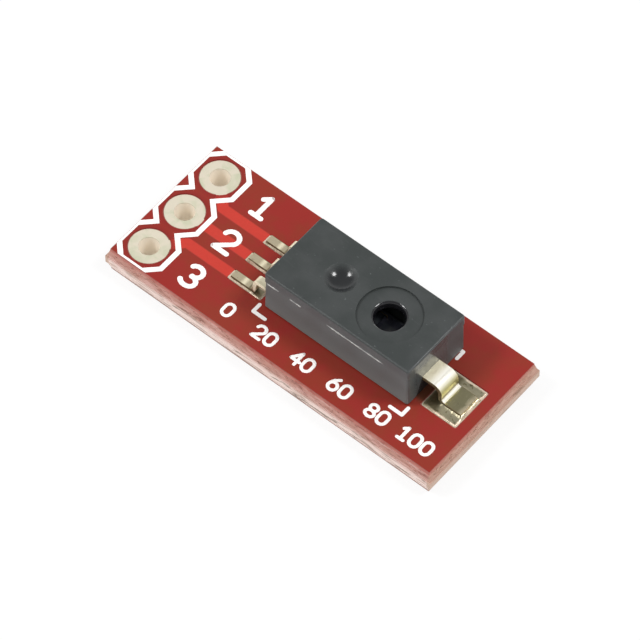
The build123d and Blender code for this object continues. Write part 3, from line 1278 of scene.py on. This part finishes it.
@dataclass
class EdgeFibres:
    """Loose ends of glass fibre along the snapped edges."""

    layout: Layout
    material: bpy.types.Material
    spacing: float = 0.085
    length: float = 0.42
    radius: float = 0.011
    facets: int = 6
    sway: float = 0.10
    smallest: Point3 = (0.6, 0.6, 0.25)
    largest: Point3 = (1.5, 1.5, 1.0)
    corner_gap: float = 0.25
    top_gap: float = 0.06
    web_gap: float = 0.02
    lift: float = 0.004
    seed: int = 11

    def build_tree(self) -> GeometryTree:
        """Build the tree that scatters fibres down the wall under each line.

        Returns:
            The finished tree.
        """
        sizes = ("Spacing", "Fibre Length", "Fibre Radius", "Lowest", "Highest", "Wall Slope", "Lift")
        tree = GeometryTree("edge_fibres", sizes, counts=("Seed",))
        seed = tree.value("Seed")
        curve = tree.node("GeometryNodeMeshToCurve", None, {"Mesh": tree.start})
        dots = tree.node(
            "GeometryNodeCurveToPoints",
            {"mode": "LENGTH"},
            {"Curve": curve.outputs[0], "Length": tree.value("Spacing")},
        )
        drawn = tree.node(
            "FunctionNodeRandomValue",
            {"data_type": "FLOAT"},
            {"Min": tree.value("Lowest"), "Max": tree.value("Highest"), "Seed": seed},
        )
        drop = Signal(tree, drawn.outputs[1])
        out = drop * tree.value("Wall Slope") + tree.value("Lift")
        outward = tree.node(
            "ShaderNodeVectorMath",
            {"operation": "CROSS_PRODUCT"},
            {0: dots.outputs["Tangent"], 1: (0, 0, 1)},
        )
        push = tree.node(
            "ShaderNodeVectorMath", {"operation": "SCALE"}, {0: outward.outputs[0], "Scale": out}
        )
        fall = tree.node("ShaderNodeCombineXYZ", None, {"Z": 0 - drop})
        offset = tree.node(
            "ShaderNodeVectorMath", {"operation": "ADD"}, {0: push.outputs[0], 1: fall.outputs[0]}
        )
        moved = tree.node(
            "GeometryNodeSetPosition",
            None,
            {"Geometry": dots.outputs["Points"], "Offset": offset.outputs[0]},
        )
        sway = tree.node(
            "FunctionNodeRandomValue",
            {"data_type": "FLOAT_VECTOR"},
            {"Min": (-self.sway,) * 3, "Max": (self.sway,) * 3, "Seed": seed},
        )
        lean = tree.node("FunctionNodeEulerToRotation", None, {0: sway.outputs[0]})
        turned = tree.node(
            "FunctionNodeRotateRotation",
            {"rotation_space": "LOCAL"},
            {"Rotation": dots.outputs["Rotation"], "Rotate By": lean.outputs[0]},
        )
        stretch = tree.node(
            "FunctionNodeRandomValue",
            {"data_type": "FLOAT_VECTOR"},
            {"Min": self.smallest, "Max": self.largest, "Seed": seed},
        )
        fibre = tree.node(
            "GeometryNodeMeshCylinder",
            None,
            {
                "Vertices": self.facets,
                "Radius": tree.value("Fibre Radius"),
                "Depth": tree.value("Fibre Length"),
            },
        )
        laid = tree.node(
            "GeometryNodeInstanceOnPoints",
            None,
            {
                "Points": moved.outputs[0],
                "Instance": fibre.outputs[0],
                "Rotation": turned.outputs[0],
                "Scale": stretch.outputs[0],
            },
        )
        tree.finish(laid.outputs[0])
        return tree

    def upper_edges(self) -> list[list[Point3]]:
        """The laminate's four upper edges, clear of its corners.

        Returns:
            Two points in metres for each edge.
        """
        half_x, half_y = self.layout.board_half_length, self.layout.board_half_width
        x, y, z = half_x - self.corner_gap, half_y - self.corner_gap, self.layout.laminate_top
        sides = [
            [(-x, -half_y, z), (x, -half_y, z)],
            [(half_x, -y, z), (half_x, y, z)],
            [(x, half_y, z), (-x, half_y, z)],
            [(-half_x, y, z), (-half_x, -y, z)],
        ]
        return [[(px * MM, py * MM, pz * MM) for px, py, pz in side] for side in sides]

    def build(self) -> bpy.types.Object:
        """Scatter the fibres along the four edges.

        Returns:
            The finished piece.
        """
        piece = self.build_tree().make(
            edge_mesh("edge_fibres", self.upper_edges()),
            "edge_fibres",
            {
                "Spacing": self.spacing * MM,
                "Fibre Length": self.length * MM,
                "Fibre Radius": self.radius * MM,
                "Lowest": self.top_gap * MM,
                "Highest": (self.layout.score_depth - self.web_gap) * MM,
                "Wall Slope": math.tan(math.radians(self.layout.score_angle)),
                "Lift": self.lift * MM,
                "Seed": self.seed,
                "Material": self.material,
            },
        )
        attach(piece, "root")
        log.info("piece edge_fibres")
        return piece


@dataclass
class PartingBead:
    """Beads of adhesive squeezed out in places along the joint between the base and the cover.

    The runs are in millimetres along each side, from its left corner as that side is seen from
    outside for the two long sides, and from the near corner for the end by the leads.
    """

    material: bpy.types.Material
    low: Vector
    high: Vector
    near_runs: tuple[Span, ...] = ((0.15, 0.90), (1.50, 2.20), (3.70, 7.05))
    far_runs: tuple[Span, ...] = ((0.60, 2.40), (4.10, 5.00), (6.40, 7.60))
    end_runs: tuple[Span, ...] = ((0.50, 1.10), (3.00, 3.60))
    radius: float = 0.050
    point_spacing: float = 0.04
    facets: int = 8
    ripple_waves: float = 3.5
    ripple_detail: float = 2.0
    taper: float = 12.0
    least_swell: float = 0.30
    ripple_swell: float = 1.1
    thinnest: float = 0.12
    seed: float = 3.0

    def run_lines(self) -> list[list[Point3]]:
        """The middle line of each bead, in metres.

        Returns:
            One pair of points for each bead, on three sides of the housing.
        """
        x0, x1, y0, y1, z = self.low.x, self.high.x, self.low.y, self.high.y, self.low.z
        lines = [[(x0 + a * MM, y0, z), (x0 + b * MM, y0, z)] for a, b in self.near_runs]
        lines += [[(x1 - a * MM, y1, z), (x1 - b * MM, y1, z)] for a, b in self.far_runs]
        return lines + [[(x0, y0 + a * MM, z), (x0, y0 + b * MM, z)] for a, b in self.end_runs]

    def build_tree(self) -> GeometryTree:
        """Build the tree that turns each line into a bead that swells and tapers.

        Returns:
            The finished tree.
        """
        tree = GeometryTree("parting_bead", ("Bead Radius", "Point Spacing", "Noise Place"))
        curve = tree.node("GeometryNodeMeshToCurve", None, {"Mesh": tree.start})
        even = tree.node(
            "GeometryNodeResampleCurve",
            {"mode": "LENGTH"},
            {"Curve": curve.outputs[0], "Length": tree.value("Point Spacing")},
        )
        position = tree.node("GeometryNodeInputPosition")
        ripple = tree.node(
            "ShaderNodeTexNoise",
            {"noise_dimensions": "4D"},
            {
                "Vector": position.outputs[0],
                "W": tree.value("Noise Place"),
                "Scale": self.ripple_waves / MM,
                "Detail": self.ripple_detail,
            },
        )
        along = Signal(tree, tree.node("GeometryNodeSplineParameter").outputs["Factor"])
        taper = (along * (1 - along) * self.taper).least(1.0) ** 0.5
        swell = self.least_swell + Signal(tree, ripple.outputs[0]) * self.ripple_swell
        sized = tree.node(
            "GeometryNodeSetCurveRadius",
            None,
            {"Curve": even.outputs[0], "Radius": (taper * swell).most(self.thinnest)},
        )
        section = tree.node(
            "GeometryNodeCurvePrimitiveCircle",
            None,
            {"Resolution": self.facets, "Radius": tree.value("Bead Radius")},
        )
        bead = tree.node(
            "GeometryNodeCurveToMesh",
            None,
            {
                "Curve": sized.outputs[0],
                "Profile Curve": section.outputs[0],
                "Scale": tree.node("GeometryNodeInputRadius").outputs[0],
                "Fill Caps": True,
            },
        )
        tree.finish(bead.outputs[0])
        return tree

    def build(self) -> bpy.types.Object:
        """Lay the beads along the joint.

        Returns:
            The finished piece.
        """
        piece = self.build_tree().make(
            edge_mesh("parting_bead", self.run_lines()),
            "parting_bead",
            {
                "Bead Radius": self.radius * MM,
                "Point Spacing": self.point_spacing * MM,
                "Noise Place": self.seed,
                "Material": self.material,
            },
        )
        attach(piece, "root")
        log.info("piece parting_bead")
        return piece


@dataclass
class Board:
    """The board: its laminate, masks, copper, printed outline and solder.

    The sizes are in millimetres. A foot's flat is the length of it that lies on the solder.
    """

    layout: Layout
    nets: tuple[str, ...] = ("ground", "output", "supply")
    lead_flat: float = 1.30
    lead_half_width: float = 0.21
    lead_reach: float = 0.06
    lead_rim: Span = (0.05, 0.10)
    lead_seeds: tuple[float, ...] = (1.0, 5.0, 9.0)
    tab_flat: float = 1.10
    tab_half_width: float = 0.625
    tab_film: float = 0.026
    tab_climb: float = 0.085
    tab_reach: float = 0.20
    tab_rim: Span = (0.04, 0.12)
    tab_seed: float = 21.0
    # Reach of the painted shade on the tab's solder, back from the tab's toe.
    tab_dull: float = 0.96

    def dress_nodes(self, finishes: Mapping[str, bpy.types.Material]) -> None:
        """Put each finish on the CAD nodes whose slot has its name.

        Args:
            finishes: A material for each slot name.
        """
        for name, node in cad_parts.items():
            slot_name = node.material_slots[0].material.name.split(".")[0]
            dress(node, finishes[slot_name])
            log.info("dressed %s in %s", name, slot_name)

    def pad_finish(
        self, name: str, box: Iterable[Vector], rim: Span, **options: Any
    ) -> bpy.types.Material:
        """The finish of the solder on a pad.

        Args:
            name: The material's name.
            box: The CAD joint's corners in metres.
            rim: Where the bare tin along the pad's border starts and ends.
            **options: What else differs from the finish's defaults.

        Returns:
            The finished material.
        """
        low, high = in_mm(box)
        half = (high - low) / 2
        middle_x = (low.x + high.x) / 2
        return SolderFinish(self.layout, name, middle_x, (half.x, half.y), rim, **options).build()

    def solder_leads(self) -> None:
        """Build the three joints at the leads' feet."""
        material = self.pad_finish("solder_on_lead_pads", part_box("solder_joint_output"), self.lead_rim)
        for net, seed in zip(self.nets, self.lead_seeds):
            low, high = in_mm(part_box(f"solder_joint_{net}"))
            toe_x = in_mm(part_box(f"lead_{net}"))[0].x
            centre = (low.y + high.y) / 2
            joint = SolderJoint(
                node=f"solder_joint_{net}",
                foot_x=(toe_x, toe_x + self.lead_flat),
                foot_half_width=self.lead_half_width,
                pad=(low.x, high.x, low.y - centre, high.y - centre),
                seed=seed,
                reach=self.lead_reach,
            )
            joint.build(self.layout, material, centre)

    def solder_tab(self) -> None:
        """Build the joint at the anchor tab's foot."""
        low, high = in_mm(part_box("solder_joint_tab"))
        toe_x = in_mm(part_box("anchor_tab"))[1].x
        material = self.pad_finish(
            "solder_on_tab_pad",
            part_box("solder_joint_tab"),
            self.tab_rim,
            in_lanes=False,
            dull_to=toe_x - self.tab_dull,
        )
        joint = SolderJoint(
            node="solder_joint_tab",
            foot_x=(toe_x - self.tab_flat, toe_x),
            foot_half_width=self.tab_half_width,
            pad=(low.x, high.x, low.y, high.y),
            seed=self.tab_seed,
            film=self.tab_film,
            climb=self.tab_climb,
            reach=self.tab_reach,
        )
        joint.build(self.layout, material, 0.0)


@dataclass
class Sensor:
    """The sensor: its housing's finish, its softened edges and the adhesive in its joint.

    Places are in millimetres from the cover's middle, and angles in degrees.
    """

    vent_offset: Point2 = (1.59, -0.125)
    recess_offset: Point2 = (-1.39, 0.0)
    bead_inset: float = 0.012
    metal_round: float = 0.025
    housing_round: float = 0.03
    metal_angle: float = 50.0
    base_angle: float = 60.0
    cover_angle: float = 35.0
    weld_distance: float = 0.0005
    round_segments: int = 3

    def __post_init__(self) -> None:
        """Read the cover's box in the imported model."""
        self.low, self.high = in_mm(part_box("sensor_cover"))

    def housing_finish(self) -> bpy.types.Material:
        """The housing's finish, fitted to the cover.

        Returns:
            The finished material.
        """
        middle, half = (self.low + self.high) / 2, (self.high - self.low) / 2
        return HousingFinish(
            vent=(middle.x + self.vent_offset[0], middle.y + self.vent_offset[1]),
            recess=(middle.x + self.recess_offset[0], middle.y + self.recess_offset[1]),
            top=self.high.z,
            middle=(middle.x, middle.y),
            half=(half.x, half.y),
            tab_top=in_mm(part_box("anchor_tab"))[1].z,
        ).build()

    def soften(self, node: bpy.types.Object, width: float, angle: float) -> None:
        """Round the sharp edges of a CAD node with live modifiers.

        Args:
            node: The node's object.
            width: How far the rounding reaches from the edge, in millimetres.
            angle: Edges sharper than this many degrees are rounded.
        """
        weld = node.modifiers.new("weld", "WELD")
        weld.merge_threshold = self.weld_distance * MM
        bevel = node.modifiers.new("round", "BEVEL")
        bevel.width = width * MM
        bevel.segments = self.round_segments
        bevel.limit_method = "ANGLE"
        bevel.angle_limit = math.radians(angle)
        bevel.use_clamp_overlap = True
        bevel.harden_normals = True

    def seal(self, adhesive: bpy.types.Material) -> None:
        """Lay the adhesive that was squeezed out of the joint.

        Args:
            adhesive: The finish of the adhesive.
        """
        glue_low, glue_high = in_mm(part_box("cover_glue"))
        parting = (glue_low.z + glue_high.z) / 2
        inset = self.bead_inset
        low = Vector((self.low.x + inset, self.low.y + inset, parting)) * MM
        high = Vector((self.high.x - inset, self.high.y - inset, parting)) * MM
        PartingBead(adhesive, low, high).build()

    def build(self) -> None:
        """Soften the leads, the tab and the housing."""
        for name in ("lead_ground", "lead_output", "lead_supply", "anchor_tab"):
            self.soften(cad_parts[name], self.metal_round, self.metal_angle)
        self.soften(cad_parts["sensor_base"], self.housing_round, self.base_angle)
        self.soften(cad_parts["sensor_cover"], self.housing_round, self.cover_angle)


@dataclass(frozen=True)
class Lamp:
    """One soft area lamp, placed and aimed in millimetres."""

    name: str
    place: Point3
    aim: Point3 = (0.0, 0.0, 0.0)
    width: float = 90.0
    power: float = 0.40

    def build(self) -> None:
        """Add the lamp to the scene."""
        light = bpy.data.lights.new(self.name, "AREA")
        light.shape = "ELLIPSE"
        light.size, light.size_y = self.width * MM, self.width * MM
        light.energy = self.power
        lamp = bpy.data.objects.new(self.name, light)
        lamp.location = Vector(self.place) * MM
        way = Vector(self.aim) * MM - lamp.location
        lamp.rotation_euler = way.to_track_quat("-Z", "Y").to_euler()
        bpy.context.scene.collection.objects.link(lamp)


@dataclass
class Studio:
    """The setting: white floor and world, soft lamps, and the photograph's camera.

    Places and lengths are in millimetres, and the camera's turn in degrees.
    """

    camera_place: Point3 = (78.0046, -94.4046, 184.9435)
    camera_turn: Point3 = (33.57025, -0.13215, 39.78079)
    lens: float = 269.54
    film_width: float = 36.0
    sight: Span = (10.0, 10000.0)
    lamps: tuple[Lamp, ...] = (
        Lamp("right_lamp", (142.0, 92.0, 271.0)),
        Lamp("left_lamp", (-153.0, -124.0, 252.0)),
    )
    world_light: float = 0.62
    overhead: float = 0.35
    dim_span: Span = (0.15, 0.65)
    floor_half: float = 400.0
    floor_drop: float = 0.01
    floor_grey: float = 0.9
    shadow_kept: float = 0.16

    def seen_ray(self, kit: NodeKit) -> Signal:
        """Tell the rays that show the background from those that light the board.

        Args:
            kit: The builder of the tree to add to.

        Returns:
            1 on camera, glossy and transmission rays, 0 on others.
        """
        path = kit.node("ShaderNodeLightPath")
        names = ("Is Camera Ray", "Is Glossy Ray", "Is Transmission Ray")
        return reduce(Signal.most, [Signal(kit, path.outputs[name]) for name in names])

    def build_floor(self) -> None:
        """A white floor that shows white and keeps a faint shadow."""
        h = self.floor_half * MM
        floor = add_mesh("floor", [(-h, -h, 0), (h, -h, 0), (h, h, 0), (-h, h, 0)], [(0, 1, 2, 3)])
        floor.location.z = -self.floor_drop * MM
        shader = Shader("floor_white")
        matt = shader.node("ShaderNodeBsdfDiffuse", None, {"Color": (*(self.floor_grey,) * 3, 1.0)})
        glow = shader.node("ShaderNodeEmission", None, {"Color": WHITE, "Strength": 1.0})
        share = self.seen_ray(shader) * (1 - self.shadow_kept)
        mixed = shader.node("ShaderNodeMixShader", None, {0: share, 1: matt.outputs[0], 2: glow.outputs[0]})
        shader.node("ShaderNodeOutputMaterial", None, {"Surface": mixed.outputs[0]})
        dress(floor, shader.material)
        floor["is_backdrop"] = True

    def build_world(self) -> None:
        """A world that lights plainly, shows white, and is dimmer overhead where only gloss shows it."""
        world = bpy.data.worlds.new("studio")
        world.use_nodes = True
        bpy.context.scene.world = world
        kit = NodeKit(world.node_tree)
        kit.tree.nodes.clear()
        way = kit.node("ShaderNodeTexCoord").outputs["Generated"]
        up = Signal(kit, kit.node("ShaderNodeSeparateXYZ", None, {"Vector": way}).outputs["Z"])
        glossy = Signal(kit, kit.node("ShaderNodeLightPath").outputs["Is Glossy Ray"])
        dimmed = glossy * up.ramp(*self.dim_span) * (1 - self.overhead)
        strength = (self.seen_ray(kit) * (1 - self.world_light) + self.world_light) * (1 - dimmed)
        back = kit.node("ShaderNodeBackground", None, {"Color": WHITE, "Strength": strength})
        kit.node("ShaderNodeOutputWorld", None, {"Surface": back.outputs[0]})

    def build_camera(self) -> None:
        """The camera, at the photograph's viewing angle."""
        camera = bpy.data.cameras.new("camera")
        camera.lens = self.lens
        camera.sensor_width = self.film_width
        camera.clip_start, camera.clip_end = (reach * MM for reach in self.sight)
        holder = bpy.data.objects.new("camera", camera)
        holder.location = Vector(self.camera_place) * MM
        holder.rotation_euler = Euler([math.radians(turn) for turn in self.camera_turn])
        bpy.context.scene.collection.objects.link(holder)
        bpy.context.scene.camera = holder

    def build(self) -> None:
        """Build the whole setting."""
        self.build_floor()
        self.build_world()
        for lamp in self.lamps:
            lamp.build()
        self.build_camera()
        bpy.context.scene.view_settings.view_transform = "Standard"


def plain_finishes() -> dict[str, bpy.types.Material]:
    """The finishes of the small parts, most of them inside the housing.

    Returns:
        A material for each of their slots.
    """
    plain = {
        "glue": PlainFinish("cover_adhesive", (0.52, 0.50, 0.48), (0.26, 0.26, 0.25), roughness=0.3),
        "solder": PlainFinish(
            "hidden_solder", (0.6, 0.56, 0.42), (0.4, 0.36, 0.25), metallic=0.85, roughness=0.25
        ),
        "silicon": PlainFinish(
            "silicon_chip", (0.020, 0.022, 0.030), (0.03, 0.03, 0.04), metallic=0.4, roughness=0.12
        ),
        "sensing_film": PlainFinish(
            "sensing_film", (0.016, 0.018, 0.022), (0.03, 0.03, 0.03), metallic=0.1, roughness=0.12
        ),
        "gold_wire": PlainFinish(
            "gold_wire", (0.42, 0.31, 0.14), (0.30, 0.21, 0.09), metallic=1.0, roughness=0.22
        ),
    }
    return {slot: finish.build() for slot, finish in plain.items()}


def main() -> None:
    """Build the looks in order and report each piece."""
    logging.basicConfig(level=logging.INFO, format="%(message)s")
    bpy.context.view_layer.update()
    cad = tuple(corner.copy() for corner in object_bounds())
    layout = Layout()
    sensor = Sensor()
    finishes = {
        "laminate": LaminateFinish(layout).build(),
        "solder_mask": MaskFinish(layout).build(),
        "tinned_copper": TinnedFinish(layout).build(),
        "white_ink": InkFinish().build(),
        "housing": sensor.housing_finish(),
        "lead_frame": LeadMetalFinish(layout).build(),
        **plain_finishes(),
    }
    board = Board(layout)
    board.dress_nodes(finishes)
    board.solder_leads()
    board.solder_tab()
    sensor.build()
    Print(layout, finishes["white_ink"]).build()
    EdgeFibres(layout, finishes["laminate"]).build()
    sensor.seal(finishes["glue"])
    Studio().build()


if __name__ == "__main__":
    main()
